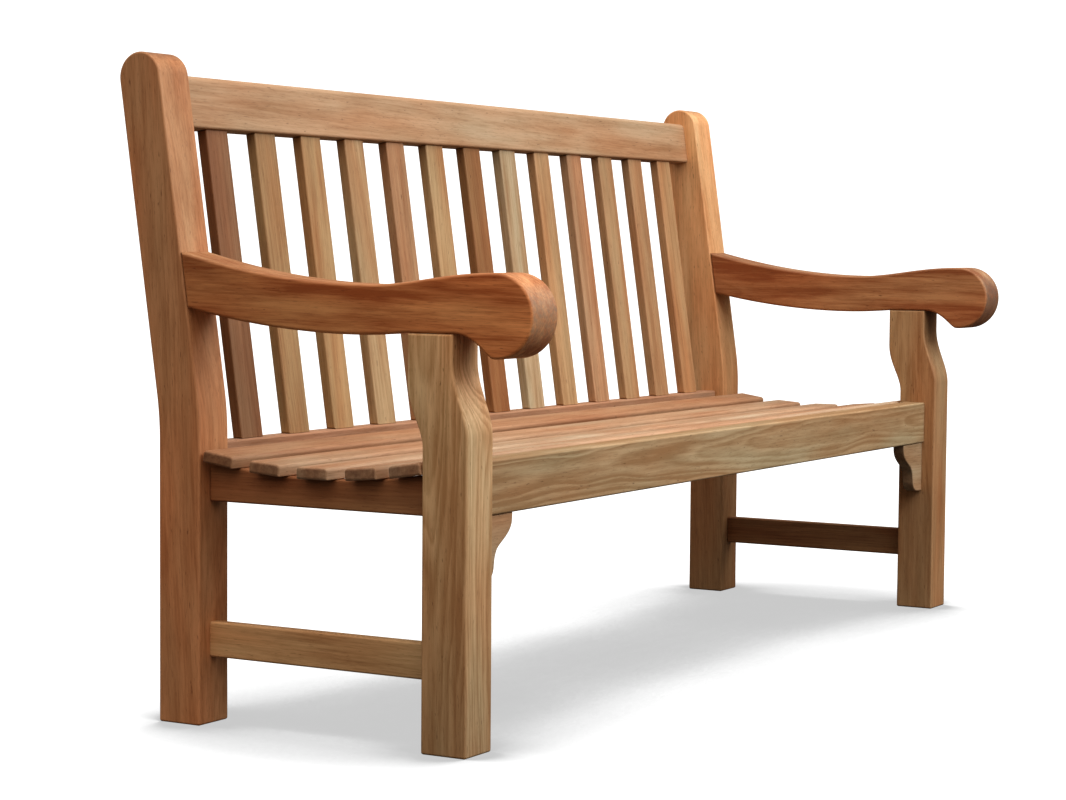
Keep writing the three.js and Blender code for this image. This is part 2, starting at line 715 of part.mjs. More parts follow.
// The ground plan is centred on the origin.
const bounds = new THREE.Box3().setFromObject(bench);
bench.position.y = -(bounds.min.y + bounds.max.y) / 2;

export default bench;
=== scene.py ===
"""The looks of the teak garden bench: each timber with eased edges, its grain and its finish.

Metres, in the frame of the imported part: X along the bench, Y from front to back, Z up.
A side is -1 for the left end and 1 for the right end, as the bench is seen from the front.
"""

import math
import random

import bpy
import numpy as np
from mathutils import Matrix, Vector

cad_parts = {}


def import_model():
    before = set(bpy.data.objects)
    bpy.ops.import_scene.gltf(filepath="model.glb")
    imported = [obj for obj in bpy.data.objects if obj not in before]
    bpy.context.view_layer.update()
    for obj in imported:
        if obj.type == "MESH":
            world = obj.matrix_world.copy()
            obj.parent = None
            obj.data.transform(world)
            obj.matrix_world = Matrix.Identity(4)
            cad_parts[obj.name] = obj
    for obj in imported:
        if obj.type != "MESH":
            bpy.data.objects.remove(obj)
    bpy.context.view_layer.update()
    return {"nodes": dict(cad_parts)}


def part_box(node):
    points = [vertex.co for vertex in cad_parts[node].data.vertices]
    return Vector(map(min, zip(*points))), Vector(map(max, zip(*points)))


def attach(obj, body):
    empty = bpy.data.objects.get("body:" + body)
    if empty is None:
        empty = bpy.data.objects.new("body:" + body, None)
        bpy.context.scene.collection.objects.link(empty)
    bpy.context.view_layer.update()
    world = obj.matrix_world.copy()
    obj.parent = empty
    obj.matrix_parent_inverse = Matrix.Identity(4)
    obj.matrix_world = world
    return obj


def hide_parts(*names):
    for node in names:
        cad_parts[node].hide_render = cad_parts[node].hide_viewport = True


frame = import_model()

# Driving sizes that the boxes of the nodes don't give.
GAP = 0.0003  # left between timbers that meet
EASE = 0.0035  # radius of an eased edge
ARM_EASE = 0.0045
SLAT_EASE = 0.003
SEAT_EASE = 0.0042
BEARER_EASE = 0.0015
BRACKET_EASE = 0.002
CUT = 0.0006  # radius where a sawn end meets another timber
RAKE = math.radians(8.4)
BEND_Z = 0.455  # where the back posts start to lean
BEND_BLEND = 0.035  # how far the rounding of that bend reaches each way
LEG_WIDTH = 0.070
POST_DEPTH = 0.074  # of a back post
FRONT_DEPTH = 0.073  # of a front post
NECK_SHIFT = 0.025  # how far a front post's neck is set back from its foot
NECK_FRONT_Z = (0.440, 0.545)  # where the curve into the neck starts and ends, on its front
NECK_REAR_Z = (0.425, 0.515)  # and on its rear
SLAT_WIDTH = 0.054
SLAT_THICKNESS = 0.018
RAIL_THICKNESS = 0.032
TOP_RAIL_UP = 0.508
TOP_RAIL_HEIGHT = 0.079
TOP_RAIL_SETBACK = 0.025
LOWER_RAIL_SETBACK = 0.019
ARM_SEAT_Z = 0.583  # where an arm rests on its front post
ARM_SEAT_MARGIN = 0.001  # how far the arm's flat seat reaches past the post
ARM_REAR_TOP = 0.691
ARM_REAR_BOTTOM = 0.610
ARM_LOW_Y = 0.165  # the lowest point of an arm's top
ARM_LOW_Z = 0.6485
SCROLL_RADIUS = 0.0585
SCROLL_Y = -0.0435
SCROLL_Z = 0.6085
SCROLL_END = math.radians(275)  # where the scroll's round runs out below
SEAT_LOW_Z = 0.389  # the lowest point of the dished seat
SEAT_LOW_Y = 0.265
SEAT_RADIUS = 1.065  # of the dish
SEAT_FIT = 0.00085  # left between the flat slats and the dished edge they lie on
SEAT_SLAT_RADII = (0.002, 0.002, 0.006, 0.006)  # two lower corners, then two upper ones
TOP_RAIL_RADII = (EASE, EASE, 0.009, 0.010)
STRETCHER_THICKNESS = 0.020
PEG_RADIUS = 0.005
PEG_LENGTH = 0.044
PEG_ROUND = 0.0012  # radius of the rounding about a peg's end
PEG_PROUD = 0.0008  # how far a peg stands out of the post

# Places that come from the frame. Heights and depths are measured from the foot of a front leg.
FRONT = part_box("front_post_left")[0].y
BACK_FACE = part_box("back_post_left")[0].y - FRONT
REACH = BACK_FACE + POST_DEPTH
POST_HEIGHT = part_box("back_post_left")[1].z
INNER_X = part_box("back_post_right")[0].x
LEG_X = INNER_X + LEG_WIDTH / 2
SIDES = {"left": -1, "right": 1}

CURVE_STEPS = 28
ARC_STEPS = CURVE_STEPS * 2
ROUND_STEPS = 5  # rings in an eased edge
PEG_STEPS = 32  # points about a peg
SHARP = 0.00005  # what is left of a corner's radius where the outline is moved in by more than it


# ---------------------------------------------------------------------------------------------
# Outlines

class Outline:
    """A closed outline of lines, cubic curves and arcs, run anticlockwise.

    Each point has the radius that its corner is rounded with, which is zero inside a curve."""

    def __init__(self, x=None, y=None, radius=EASE):
        self.points = []
        self.radii = []
        if x is not None:
            self.line(x, y, radius)

    def line(self, x, y, radius=EASE):
        self.points.append((x, y))
        self.radii.append(radius)

    def curve(self, first, second, end, radius=0.0):
        start = np.array(self.points[-1])
        first, second, end = (np.array(p) for p in (first, second, end))
        for step in range(1, CURVE_STEPS + 1):
            t = step / CURVE_STEPS
            s = 1 - t
            point = s**3 * start + 3 * s * s * t * first + 3 * s * t * t * second + t**3 * end
            self.line(point[0], point[1], 0.0)
        self.radii[-1] = radius

    def bend(self, middle, end, radius=0.0):
        """A quadratic curve, drawn as the cubic one of the same shape."""
        start = np.array(self.points[-1])
        middle, end = np.array(middle), np.array(end)
        self.curve(start + (middle - start) * 2 / 3, end + (middle - end) * 2 / 3, end, radius)

    def arc(self, centre, radius, start, end, steps=ARC_STEPS):
        """An arc. Its first point is left out where the outline is already there."""
        for step in range(steps + 1):
            angle = start + (end - start) * step / steps
            point = (centre[0] + radius * math.cos(angle), centre[1] + radius * math.sin(angle))
            joined = step == 0 and self.points and math.dist(self.points[-1], point) < GAP
            if not joined:
                self.line(*point, 0.0)

    def rounded(self, inset):
        """The outline moved in by inset, with an arc in the place of each corner that has a radius.

        Returns its points, their outward normals and how near each is to the middle of a rounded
        corner, 1 in the middle of an arc."""
        points = np.array(self.points)
        edges = np.roll(points, -1, 0) - points
        edges /= np.linalg.norm(edges, axis=1)[:, None]
        after = np.stack([edges[:, 1], -edges[:, 0]], 1)
        before = np.roll(after, 1, 0)
        middle = before + after
        middle /= np.linalg.norm(middle, axis=1)[:, None]
        points = points - middle * (inset / np.sum(middle * after, 1))[:, None]
        places, normals, edge_middle = [], [], []
        for point, first, last, normal, radius in zip(points, before, after, middle, self.radii):
            turn = math.atan2(first[0] * last[1] - first[1] * last[0], float(first @ last))
            if radius <= 0:
                places.append(point)
                normals.append(normal)
                edge_middle.append(0)
                continue
            radius = max(radius - inset, SHARP)
            centre = point - normal * radius / math.cos(turn / 2)
            steps = max(2, round(ROUND_STEPS * abs(turn) / (math.pi / 2)))
            for step in range(steps + 1):
                c, s = math.cos(turn * step / steps), math.sin(turn * step / steps)
                swung = np.array([first[0] * c - first[1] * s, first[0] * s + first[1] * c])
                places.append(centre + swung * radius)
                normals.append(swung)
                edge_middle.append(math.sin(math.pi * step / steps))
        return np.array(places), np.array(normals), np.array(edge_middle)


def rectangle(low_x, low_y, high_x, high_y, radii=(EASE, EASE, EASE, EASE)):
    """A rectangle whose corners are rounded from the lower left one, anticlockwise."""
    outline = Outline(low_x, low_y, radii[0])
    outline.line(high_x, low_y, radii[1])
    outline.line(high_x, high_y, radii[2])
    outline.line(low_x, high_y, radii[3])
    return outline


# ---------------------------------------------------------------------------------------------
# Timbers

ALONG_X = Matrix(((0, 0, 1), (1, 0, 0), (0, 1, 0)))  # an outline in (y, z), drawn out along x
ALONG_Y = Matrix(((1, 0, 0), (0, 0, -1), (0, 1, 0)))  # an outline in (x, z), drawn out along -y


def timber_mesh(name, outline, depth, ease, turn, place):
    """Draws an outline out by depth about its own plane, with quarter rounds at both ends.

    Returns the mesh, and its points with their normals and how near each is to the middle of a
    rounded edge."""
    rings, slopes, edge_middles = [], [], []
    for end in (-1, 1):
        steps = range(ROUND_STEPS + 1)
        for step in steps if end < 0 else reversed(steps):
            angle = math.pi / 2 * step / ROUND_STEPS
            inset = ease * (1 - math.sin(angle))
            height = end * (depth / 2 - ease * (1 - math.cos(angle)))
            flat, outward, edge_middle = outline.rounded(inset)
            count = len(flat)
            rings.append(np.column_stack([flat, np.full(count, height)]))
            slopes.append(np.column_stack([
                outward * math.sin(angle),
                np.full(count, end * math.cos(angle)),
            ]))
            edge_middles.append(np.maximum(edge_middle, math.sin(2 * angle)))
    turn = np.array(turn)
    vertices = np.concatenate(rings) @ turn.T + np.array(place)
    slopes = np.concatenate(slopes) @ turn.T
    faces = [list(range(count))[::-1]]
    last = len(rings) - 1
    for ring in range(last):
        base, above = ring * count, (ring + 1) * count
        for i in range(count):
            j = (i + 1) % count
            faces.append([base + i, base + j, above + j, above + i])
    faces.append([last * count + i for i in range(count)])
    mesh = bpy.data.meshes.new(name)
    mesh.from_pydata(vertices.tolist(), [], faces)
    mesh.shade_smooth()
    mesh.normals_split_custom_set_from_vertices(slopes.tolist())
    return mesh, vertices, slopes, np.concatenate(edge_middles)


def give_grain(mesh, vertices, slopes, edge_middles, along, node):
    """Stores where each point lies in the log the timber was sawn from, and how it looks there.

    grain is (along the log, across it, across it) in metres from a point on the pith.
    tint multiplies the colour, and carries the tone of the log together with painted light and
    shade.
    surface is (how far the point shows end grain, how near it is to the middle of a rounded edge,
    how strong the figure is)."""
    dice = random.Random(node)
    along = Vector(along).normalized()
    side = along.cross(Vector((0, 0, 1)) if abs(along.z) < 0.7 else Vector((0, 1, 0))).normalized()
    axes = np.array([along, side, along.cross(side)])
    grain = (vertices - vertices.mean(0)) @ axes.T
    distance, angle = PITHS.get(node, (dice.uniform(*PITH_DISTANCE), dice.uniform(0, 360)))
    angle = math.radians(angle)
    lean = np.array([dice.uniform(-LOG_LEAN, LOG_LEAN), dice.uniform(-LOG_LEAN, LOG_LEAN)])
    grain[:, 1:] += grain[:, :1] * lean
    shift = dice.uniform(-LOG_SHIFT, LOG_SHIFT)
    grain += np.array([shift, distance * math.cos(angle), distance * math.sin(angle)])
    end = np.abs(slopes @ np.array(along))
    figure = np.full(len(vertices), FIGURES.get(node, USUAL_FIGURE))
    # Painted light and shade: the colour is made darker or paler along some timbers, after how the
    # light falls on them.
    painted_light_slope = 1 + (vertices - vertices.mean(0)) @ np.array(PAINTED_LIGHT_SLOPES.get(node, (0, 0, 0)))[:, None]
    # Painted light: the faces that look up are given a cooler colour, for the light from above.
    painted_top_light = 1 + np.maximum(slopes[:, 2:], 0) * PAINTED_TOP_LIGHT.get(node, (0, 0, 0))
    for name, values in (
        ("grain", grain),
        ("tone_and_painted_light", painted_light_slope * painted_top_light * TONES_AND_PAINTED_LIGHT.get(node, (1, 1, 1))),
        ("surface", np.column_stack([end, edge_middles, figure])),
    ):
        attribute = mesh.attributes.new(name, "FLOAT_VECTOR", "POINT")
        attribute.data.foreach_set("vector", values.astype(np.float32).ravel())


PITH_DISTANCE = (0.03, 0.10)  # from the middle of a timber to the pith of its log
LOG_LEAN = 0.03  # how far the log may lean from the timber, as a slope
LOG_SHIFT = 20.0  # how far along an endless log the timber may lie
USUAL_FIGURE = 0.5

# What multiplies the colour of a timber: partly the tone of its log, which differs from the others
# of its kind, and partly painted light and shade, fitted to how brightly each timber shows.
TONES_AND_PAINTED_LIGHT = {
    "back_post_left": (0.98, 0.90, 0.88),
    "back_post_right": (1.24, 1.22, 1.16),
    "front_post_left": (1.22, 1.46, 1.58),
    "front_post_right": (0.77, 0.81, 0.80),
    "arm_left": (1.19, 1.11, 0.98),
    "arm_right": (0.82, 0.80, 0.77),
    "top_back_rail": (0.89, 0.98, 1.09),
    "lower_back_rail": (0.78, 0.73, 0.81),
    "front_seat_rail": (0.78, 0.93, 0.98),
    "side_stretcher_left": (1.55, 2.10, 2.40),
    "side_stretcher_right": (0.80, 0.86, 0.85),
    "corner_bracket_left": (0.73, 0.82, 0.88),
    "corner_bracket_right": (0.74, 0.85, 0.93),
    "seat_slat_1": (0.86, 0.77, 0.72),
    "seat_slat_2": (0.98, 0.97, 0.98),
    "seat_slat_3": (1.03, 1.10, 1.17),
    "seat_slat_4": (1.00, 1.06, 1.12),
    "seat_slat_5": (1.05, 1.13, 1.22),
    "back_slat_01": (0.56, 0.50, 0.48),
    "back_slat_02": (0.80, 0.87, 0.83),
    "back_slat_03": (0.92, 0.97, 0.92),
    "back_slat_04": (0.96, 1.06, 1.10),
    "back_slat_05": (0.90, 0.87, 0.90),
    "back_slat_06": (1.00, 1.06, 1.04),
    "back_slat_07": (0.64, 0.52, 0.41),
    "back_slat_08": (1.03, 1.33, 1.60),
    "back_slat_09": (1.00, 1.03, 1.02),
    "back_slat_10": (0.97, 0.92, 0.97),
    "back_slat_11": (0.92, 0.90, 0.88),
    "back_slat_12": (0.89, 0.84, 0.82),
    "back_slat_13": (0.97, 0.90, 0.84),
}
# How strongly the growth rings show, where it isn't the usual figure.
FIGURES = {
    "front_post_left": 1.5,
    "front_post_right": 0.9,
    "front_seat_rail": 1.9,
    "side_stretcher_right": 0.9,
    "back_slat_02": 0.8,
    "back_slat_06": 0.9,
    "back_slat_08": 0.9,
    "back_slat_11": 0.8,
}
# Painted light and shade: how much paler a timber is made for each metre along x, y and z, darker
# low down, where less light reaches, and paler towards the front of the left arm.
PAINTED_LIGHT_SLOPES = {
    "front_post_left": (0, 0, 0.85),
    "back_post_right": (0, 0, 0.75),
    "arm_left": (0, -0.6, 0),
}
# Painted light: what is added to the colour of the faces that look up, making them cooler and less
# red, for the light that falls on them from above.
PAINTED_TOP_LIGHT = {
    "arm_left": (-0.10, 0.09, 0.36),
    "arm_right": (-0.10, 0.09, 0.36),
}
# Where the pith of the log lies, where it isn't left to chance: its distance and its direction
# in degrees.
PITHS = {
    "front_post_left": (0.05, 25),
    "front_seat_rail": (0.03, 15),
}


def timber(node, slot, outline, depth, turn, place, along, ease=EASE):
    """A piece of teak that stands for one CAD node, with its material named by its slot."""
    name = node + "_teak"
    mesh, vertices, slopes, edge_middles = timber_mesh(name, outline, depth, ease, turn, place)
    give_grain(mesh, vertices, slopes, edge_middles, along, node)
    piece = bpy.data.objects.new(name, mesh)
    bpy.context.scene.collection.objects.link(piece)
    mesh.materials.append(MATERIALS[slot])
    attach(piece, "root")
    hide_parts(node)
    return piece


def on_back(up, setback):
    """The (y, z) point so far up the leaning face of the back posts and set back square from it."""
    return (
        BACK_FACE + up * math.sin(RAKE) + setback * math.cos(RAKE),
        BEND_Z + up * math.cos(RAKE) - setback * math.sin(RAKE),
    )


def up_at_height(z, setback):
    """How far up the leaning face the height z is reached, at that setback."""
    return (z - BEND_Z + setback * math.sin(RAKE)) / math.cos(RAKE)


def seat_height(y):
    """The height of the dished seat, so far back from the face of the front posts."""
    return SEAT_LOW_Z + (y - SEAT_LOW_Y) ** 2 / (2 * SEAT_RADIUS)


def seat_slope(y):
    return (y - SEAT_LOW_Y) / SEAT_RADIUS


def back_post(end):
    """An upright with a straight foot and a leaning upper part, rounded over at the top."""
    radius = (REACH - BACK_FACE) / 2
    straight = (POST_HEIGHT - radius - BEND_Z + radius * math.sin(RAKE)) / math.cos(RAKE)
    rear_up = 2 * radius * math.tan(RAKE / 2)
    rear_bend = on_back(rear_up, 2 * radius)
    outline = Outline(BACK_FACE, 0)
    outline.line(REACH, 0)
    outline.line(REACH, rear_bend[1] - BEND_BLEND, 0)
    outline.bend(rear_bend, on_back(rear_up + BEND_BLEND, 2 * radius))
    outline.arc(on_back(straight, radius), radius, -RAKE, math.pi - RAKE)
    outline.line(*on_back(BEND_BLEND, 0), 0)
    outline.bend((BACK_FACE, BEND_Z), (BACK_FACE, BEND_Z - BEND_BLEND))
    place = (SIDES[end] * LEG_X, FRONT, 0)
    timber(f"back_post_{end}", "post", outline, LEG_WIDTH, ALONG_X, place, (0, 0.05, 1))


def front_post(end):
    """A straight leg whose upper part curves back to a neck under the arm."""
    top = ARM_SEAT_Z - GAP
    rear = FRONT_DEPTH
    neck_rear = rear + NECK_SHIFT
    rear_low, rear_high = NECK_REAR_Z
    front_low, front_high = NECK_FRONT_Z
    outline = Outline(0, 0)
    outline.line(rear, 0)
    outline.line(rear, rear_low, 0)
    outline.curve((rear, rear_low + 0.027), (neck_rear, rear_high - 0.037), (neck_rear, rear_high))
    outline.line(neck_rear, top, CUT)
    outline.line(NECK_SHIFT, top, CUT)
    outline.line(NECK_SHIFT, front_high, 0)
    outline.curve((NECK_SHIFT, front_high - 0.040), (0, front_low + 0.035), (0, front_low))
    place = (SIDES[end] * LEG_X, FRONT, 0)
    timber(f"front_post_{end}", "post", outline, LEG_WIDTH, ALONG_X, place, (0, 0.02, 1))


def arm(end):
    """A bowed arm that rests on the front post and ends in a round scroll."""
    rear_top = on_back(up_at_height(ARM_REAR_TOP, -GAP), -GAP)
    rear_bottom = on_back(up_at_height(ARM_REAR_BOTTOM, -GAP), -GAP)
    scroll_top = SCROLL_Z + SCROLL_RADIUS
    outline = Outline(*rear_top, CUT)
    seat_front = NECK_SHIFT - ARM_SEAT_MARGIN
    seat_rear = NECK_SHIFT + FRONT_DEPTH + ARM_SEAT_MARGIN
    outline.curve((0.410, 0.671), (0.300, ARM_LOW_Z), (ARM_LOW_Y, ARM_LOW_Z))
    outline.curve((0.095, ARM_LOW_Z), (0.040, scroll_top), (SCROLL_Y, scroll_top))
    outline.arc((SCROLL_Y, SCROLL_Z), SCROLL_RADIUS, math.pi / 2, SCROLL_END)
    outline.curve((-0.0285, 0.551), (-0.0095, ARM_SEAT_Z), (seat_front, ARM_SEAT_Z))
    outline.line(seat_rear, ARM_SEAT_Z, 0)
    outline.curve((0.190, 0.571), (0.350, 0.581), rear_bottom, CUT)
    place = (SIDES[end] * LEG_X, FRONT, 0)
    timber(f"arm_{end}", "arm", outline, LEG_WIDTH, ALONG_X, place, (0, 1, 0.03), ease=ARM_EASE)


def long_rail(node, section, tilt, middle):
    """A rail that runs from post to post, its section centred on middle, a (y, z) point."""
    length = 2 * (INNER_X - GAP)
    turn = Matrix.Rotation(tilt, 3, "X") @ ALONG_X
    place = (0, FRONT + middle[0], middle[1])
    timber(node, "rail", section, length, turn, place, (1, 0, 0), ease=CUT)


def long_rails():
    half = RAIL_THICKNESS / 2
    height = TOP_RAIL_HEIGHT / 2
    section = rectangle(-half, -height, half, height, TOP_RAIL_RADII)
    middle = on_back(TOP_RAIL_UP - height, TOP_RAIL_SETBACK + half)
    long_rail("top_back_rail", section, -RAKE, middle)
    low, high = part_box("lower_back_rail")
    height = (high.z - low.z) / 2
    middle = (BACK_FACE + LOWER_RAIL_SETBACK + half, (low.z + high.z) / 2)
    long_rail("lower_back_rail", rectangle(-half, -height, half, height), 0, middle)
    low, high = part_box("front_seat_rail")
    depth, height = (high.y - low.y) / 2, (high.z - low.z) / 2
    middle = ((low.y + high.y) / 2 - FRONT, (low.z + high.z) / 2)
    long_rail("front_seat_rail", rectangle(-depth, -height, depth, height), 0, middle)


def back_slats():
    """The upright slats, which lean with the posts between the two back rails."""
    front = TOP_RAIL_SETBACK + (RAIL_THICKNESS - SLAT_THICKNESS) / 2
    rear = front + SLAT_THICKNESS
    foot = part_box("lower_back_rail")[1].z + GAP
    top = TOP_RAIL_UP - TOP_RAIL_HEIGHT - GAP
    for node in sorted(n for n in frame["nodes"] if n.startswith("back_slat_")):
        low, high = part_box(node)
        outline = Outline(*on_back(up_at_height(foot, front), front), CUT)
        outline.line(*on_back(up_at_height(foot, rear), rear), CUT)
        outline.line(*on_back(top, rear), CUT)
        outline.line(*on_back(top, front), CUT)
        place = ((low.x + high.x) / 2, FRONT, 0)
        along = (0, math.sin(RAKE), math.cos(RAKE))
        timber(node, "back_slat", outline, SLAT_WIDTH, ALONG_X, place, along, SLAT_EASE)


def seat_slats():
    """The long slats of the seat, each tilted to lie on the dish."""
    half, thick = SLAT_WIDTH / 2, SLAT_THICKNESS / 2
    for node in sorted(n for n in frame["nodes"] if n.startswith("seat_slat_")):
        low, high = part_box(node)
        y, z = (low.y + high.y) / 2 - FRONT, (low.z + high.z) / 2
        section = rectangle(-half, -thick, half, thick, SEAT_SLAT_RADII)
        turn = Matrix.Rotation(math.atan(seat_slope(y)), 3, "X") @ ALONG_X
        place = (0, FRONT + y, z)
        length = high.x - low.x
        timber(node, "seat_slat", section, length, turn, place, (1, 0, 0), ease=SEAT_EASE)


def scooped_rail(node, front, rear, ease):
    """A rail or bearer under the seat slats, its top edge cut to the dish of the seat."""
    low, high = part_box(node)
    front, rear = front + GAP, rear - GAP

    def top(y):
        return seat_height(y) - SLAT_THICKNESS - SEAT_FIT

    middle = (front + rear) / 2
    middle_top = top(rear) + seat_slope(rear) * (middle - rear)
    outline = Outline(front, low.z, CUT)
    outline.line(rear, low.z, CUT)
    outline.line(rear, top(rear), CUT)
    outline.bend((middle, middle_top), (front, top(front)), CUT)
    place = ((low.x + high.x) / 2, FRONT, 0)
    timber(node, "under", outline, high.x - low.x, ALONG_X, place, (0, 1, 0), ease=ease)


def under_seat():
    """The rails between the legs of each end, and the two bearers between the long rails."""
    front_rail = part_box("front_seat_rail")[1].y - FRONT
    back_rail = BACK_FACE + LOWER_RAIL_SETBACK
    for end in SIDES:
        scooped_rail(f"side_seat_rail_{end}", FRONT_DEPTH, BACK_FACE, EASE)
        scooped_rail(f"seat_bearer_{end}", front_rail, back_rail, BEARER_EASE)


def side_stretcher(end):
    """The low rail between the legs of one end."""
    low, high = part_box(f"side_stretcher_{end}")
    section = rectangle(-STRETCHER_THICKNESS / 2, low.z, STRETCHER_THICKNESS / 2, high.z)
    place = (SIDES[end] * LEG_X, FRONT + (FRONT_DEPTH + BACK_FACE) / 2, 0)
    length = BACK_FACE - FRONT_DEPTH - 2 * GAP
    timber(f"side_stretcher_{end}", "under", section, length, ALONG_Y, place, (0, 1, 0), ease=CUT)


# The bracket's edge from its foot up to the rail, as parts of its width and height.
BRACKET_FOOT = 0.15
BRACKET_CURVES = [
    ((0.34, 1), (0.455, 0.93), (0.47, 0.77)),
    ((0.485, 0.66), (0.5, 0.565), (0.6, 0.485)),
    ((0.74, 0.39), (0.965, 0.3), (0.99, 0.12)),
]


def corner_bracket(end):
    """The shaped bracket in the corner of a front post and the front rail."""
    low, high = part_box(f"corner_bracket_{end}")
    width, height = high.x - low.x, high.z - low.z
    outline = Outline(0, 0, CUT)
    outline.line(0, -height, CUT)
    outline.line(BRACKET_FOOT * width, -height, 0)
    for curve in BRACKET_CURVES:
        outline.curve(*((x * width, -z * height) for x, z in curve))
    outline.line(width, 0, CUT)
    if end == "right":
        outline.points = [(-x, z) for x, z in reversed(outline.points)]
        outline.radii.reverse()
    corner = low.x if end == "left" else high.x
    place = (corner, (low.y + high.y) / 2, high.z)
    depth = high.y - low.y
    timber(f"corner_bracket_{end}", "rail", outline, depth, ALONG_Y, place, (1, 0, 0), BRACKET_EASE)


# ---------------------------------------------------------------------------------------------
# Materials

MIX_FIRST, MIX_SECOND, MIX_RESULT = 6, 7, 2  # the colour sockets of a mix node


class Nodes:
    """Builds a material's node tree from short calls. A socket may be given for any value."""

    def __init__(self, name):
        self.material = bpy.data.materials.new(name)
        self.material.use_nodes = True
        self.tree = self.material.node_tree
        self.shader = self.tree.nodes["Principled BSDF"]

    def feed(self, socket, value):
        if isinstance(value, bpy.types.NodeSocket):
            self.tree.links.new(value, socket)
        else:
            socket.default_value = value

    def attribute(self, name):
        node = self.tree.nodes.new("ShaderNodeAttribute")
        node.attribute_name = name
        return node

    def parts(self, vector):
        node = self.tree.nodes.new("ShaderNodeSeparateXYZ")
        self.feed(node.inputs[0], vector)
        return node.outputs

    def vector(self, x, y, z):
        node = self.tree.nodes.new("ShaderNodeCombineXYZ")
        for socket, value in zip(node.inputs, (x, y, z)):
            self.feed(socket, value)
        return node.outputs[0]

    def math(self, operation, *values, clamp=False):
        node = self.tree.nodes.new("ShaderNodeMath")
        node.operation = operation
        node.use_clamp = clamp
        for socket, value in zip(node.inputs, values):
            self.feed(socket, value)
        return node.outputs[0]

    def vector_math(self, operation, *values):
        node = self.tree.nodes.new("ShaderNodeVectorMath")
        node.operation = operation
        for socket, value in zip(node.inputs, values):
            self.feed(socket, value)
        return node.outputs["Value" if operation == "LENGTH" else "Vector"]

    def noise(self, vector, scale, detail=2.0, roughness=0.5):
        node = self.tree.nodes.new("ShaderNodeTexNoise")
        self.feed(node.inputs["Vector"], vector)
        node.inputs["Scale"].default_value = scale
        node.inputs["Detail"].default_value = detail
        node.inputs["Roughness"].default_value = roughness
        return node.outputs["Fac"]

    def ranged(self, value, low, high, to_low=0.0, to_high=1.0):
        node = self.tree.nodes.new("ShaderNodeMapRange")
        for socket, number in zip(node.inputs, (value, low, high, to_low, to_high)):
            self.feed(socket, number)
        return node.outputs[0]

    def mix(self, factor, first, second, kind="MIX"):
        node = self.tree.nodes.new("ShaderNodeMix")
        node.data_type = "RGBA"
        node.blend_type = kind
        self.feed(node.inputs[0], factor)
        self.feed(node.inputs[MIX_FIRST], first)
        self.feed(node.inputs[MIX_SECOND], second)
        return node.outputs[MIX_RESULT]

    def bump(self, height, strength, distance):
        node = self.tree.nodes.new("ShaderNodeBump")
        node.inputs["Strength"].default_value = strength
        node.inputs["Distance"].default_value = distance
        self.feed(node.inputs["Height"], height)
        return node.outputs["Normal"]


def colour(red, green, blue):
    """An sRGB colour, 0 to 255, as the linear one that a shader takes."""
    def linear(value):
        value /= 255
        return value / 12.92 if value <= 0.04045 else ((value + 0.055) / 1.055) ** 2.4
    return (linear(red), linear(green), linear(blue), 1.0)


RING_SPACING = 0.0055
RING_WANDER = 0.030  # how far the growth rings bend off their circles
RING_RIPPLE = 0.0035
LATE_WOOD = 0.55  # how much darker the late wood of a ring is
PORE_DEPTH = 0.30  # how far a pore or a fleck takes on its own colour
FLECK_DEPTH = 0.6
PORE_COLOUR = (0.10, 0.035, 0.012, 1)
FLECK_COLOUR = (0.09, 0.032, 0.012, 1)
FRESH_HUE = (0.955, 1.05, 1.07, 1)  # multiplies the colour of the least red patches
RED_HUE = (1.06, 0.91, 0.81, 1)  # and of the reddest
END_GRAIN = (0.16, 0.085, 0.048, 1)
USUAL = (0.3, 0.7)  # the span in which nearly all of a noise lies

# The patterns in teak: their scales along and across the log, their detail and their roughness.
PATTERNS = {
    "wander": (2.0, 12, 2.0, 0.5),
    "ripple": (9, 55, 2.0, 0.5),
    "patch": (4.5, 30, 3.0, 0.55),
    "blush": (3.0, 17, 2.0, 0.5),
    "band": (2.2, 105, 2.0, 0.5),
    "streak": (11, 330, 3.0, 0.6),
    "fibre": (48, 900, 2.0, 0.6),
    "fleck": (65, 380, 1.0, 0.5),
}


